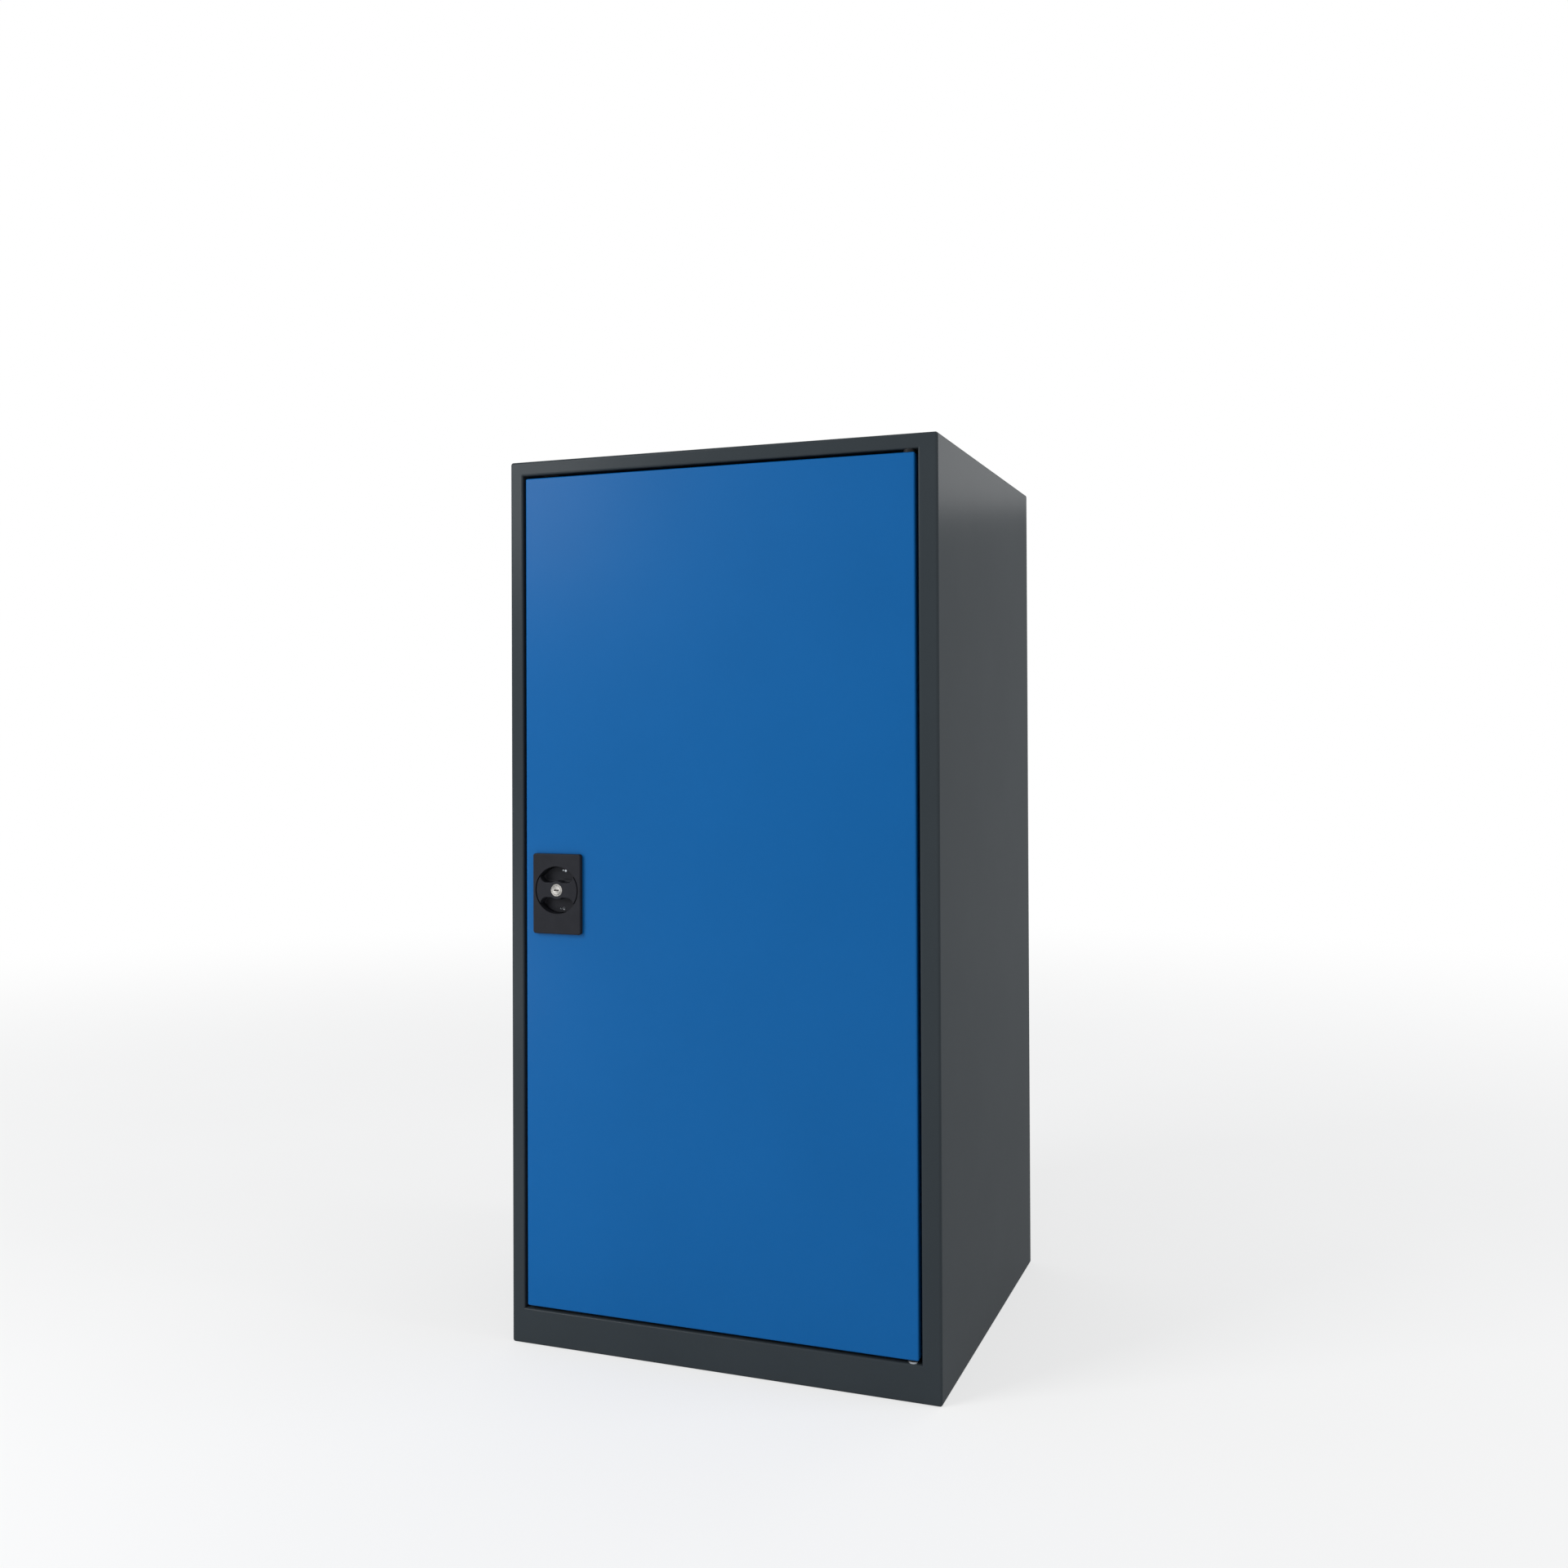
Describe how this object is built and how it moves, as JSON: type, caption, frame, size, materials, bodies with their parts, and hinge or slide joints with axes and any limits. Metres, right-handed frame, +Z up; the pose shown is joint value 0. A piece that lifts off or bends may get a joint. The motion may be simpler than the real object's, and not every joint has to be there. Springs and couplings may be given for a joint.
{
  "type": "chemical storage cabinet",
  "caption": "Tall sheet-steel chemical storage cabinet with one flush pivoted door, a recessed key-locking turn knob driving rack rods, tray shelves and a sump tray.",
  "frame": {"origin": "middle of the carcass footprint, on the floor", "axes": "+Z up, -Y out of the front of the door, +X to the right seen from the front"},
  "size_m": [0.5, 0.4755, 1],
  "materials": {
    "carcass_paint": "fine powder coat, anthracite grey",
    "door_paint": "fine powder coat, blue",
    "shelf_paint": "powder coat, light grey",
    "zinc_plate": "satin zinc plating",
    "nickel_plate": "turned and nickel plated",
    "lock_black": "fine spark-eroded moulding, black",
    "nylon": "black nylon",
    "rubber": "matt black"
  },
  "bodies": {
    "cabinet": {"left_side_panel": "carcass_paint", "right_side_panel": "carcass_paint", "top_panel": "carcass_paint", "base_panel": "carcass_paint", "back_panel": "carcass_paint", "floor_panel": "carcass_paint", "sump_tray": "shelf_paint", "upright_front_left": "zinc_plate", "upright_rear_left": "zinc_plate", "upright_front_right": "zinc_plate", "upright_rear_right": "zinc_plate", "shelf_clips": "zinc_plate", "shelf_lower": "shelf_paint", "shelf_middle": "shelf_paint", "shelf_upper": "shelf_paint", "hinge_plate_top": "zinc_plate", "hinge_plate_bottom": "zinc_plate", "hinge_pin_top": "zinc_plate", "hinge_pin_bottom": "zinc_plate", "hinge_nuts": "zinc_plate", "rod_keeper_top": "nylon", "rod_keeper_bottom": "nylon", "door_buffers": "rubber"},
    "door": {"door_skin": "door_paint", "door_stiffener": "door_paint", "pivot_bush_top": "nylon", "pivot_bush_bottom": "nylon", "lock_plate": "lock_black", "lock_case": "zinc_plate", "lock_screws": "zinc_plate", "rod_guide_top": "nylon", "rod_guide_bottom": "nylon"},
    "knob": {"knob": "lock_black", "spindle": "zinc_plate", "drive_pinion": "zinc_plate", "latch_cam": "zinc_plate", "cam_screw": "zinc_plate", "lock_cylinder": "nickel_plate"},
    "key_plug": {"key_plug": "nickel_plate"},
    "lock_bolt": {"lock_bolt": "zinc_plate"},
    "upper_rod": {"upper_rod": "zinc_plate"},
    "lower_rod": {"lower_rod": "zinc_plate"}
  },
  "joints": [
    {"name": "door_hinge", "type": "hinge", "parent": "cabinet", "child": "door", "pos_m": [0.2185, -0.228, 0.5], "axis": [0, 0, 1], "range_deg": [0, 105]},
    {"name": "knob_turn", "type": "hinge", "parent": "door", "child": "knob", "pos_m": [-0.1895, -0.24, 0.5148], "axis": [0, 1, 0], "range_deg": [0, 90]},
    {"name": "key_turn", "type": "hinge", "parent": "knob", "child": "key_plug", "pos_m": [-0.1895, -0.24, 0.5148], "axis": [0, 1, 0], "range_deg": [0, 90]},
    {"name": "lock_bolt_slide", "type": "slide", "parent": "knob", "child": "lock_bolt", "axis": [-1, 0, 0], "range_m": [0, 0.00353]},
    {"name": "upper_rod_slide", "type": "slide", "parent": "door", "child": "upper_rod", "axis": [0, 0, 1], "range_m": [0, 0.01414]},
    {"name": "lower_rod_slide", "type": "slide", "parent": "door", "child": "lower_rod", "axis": [0, 0, -1], "range_m": [0, 0.0142]}
  ],
  "couplings": [
    {"joint": "key_turn", "follows": "lock_bolt_slide", "rad_per_m": 444.29},
    {"joint": "knob_turn", "follows": "upper_rod_slide", "rad_per_m": 111.11},
    {"joint": "lower_rod_slide", "follows": "upper_rod_slide", "ratio": 1}
  ]
}
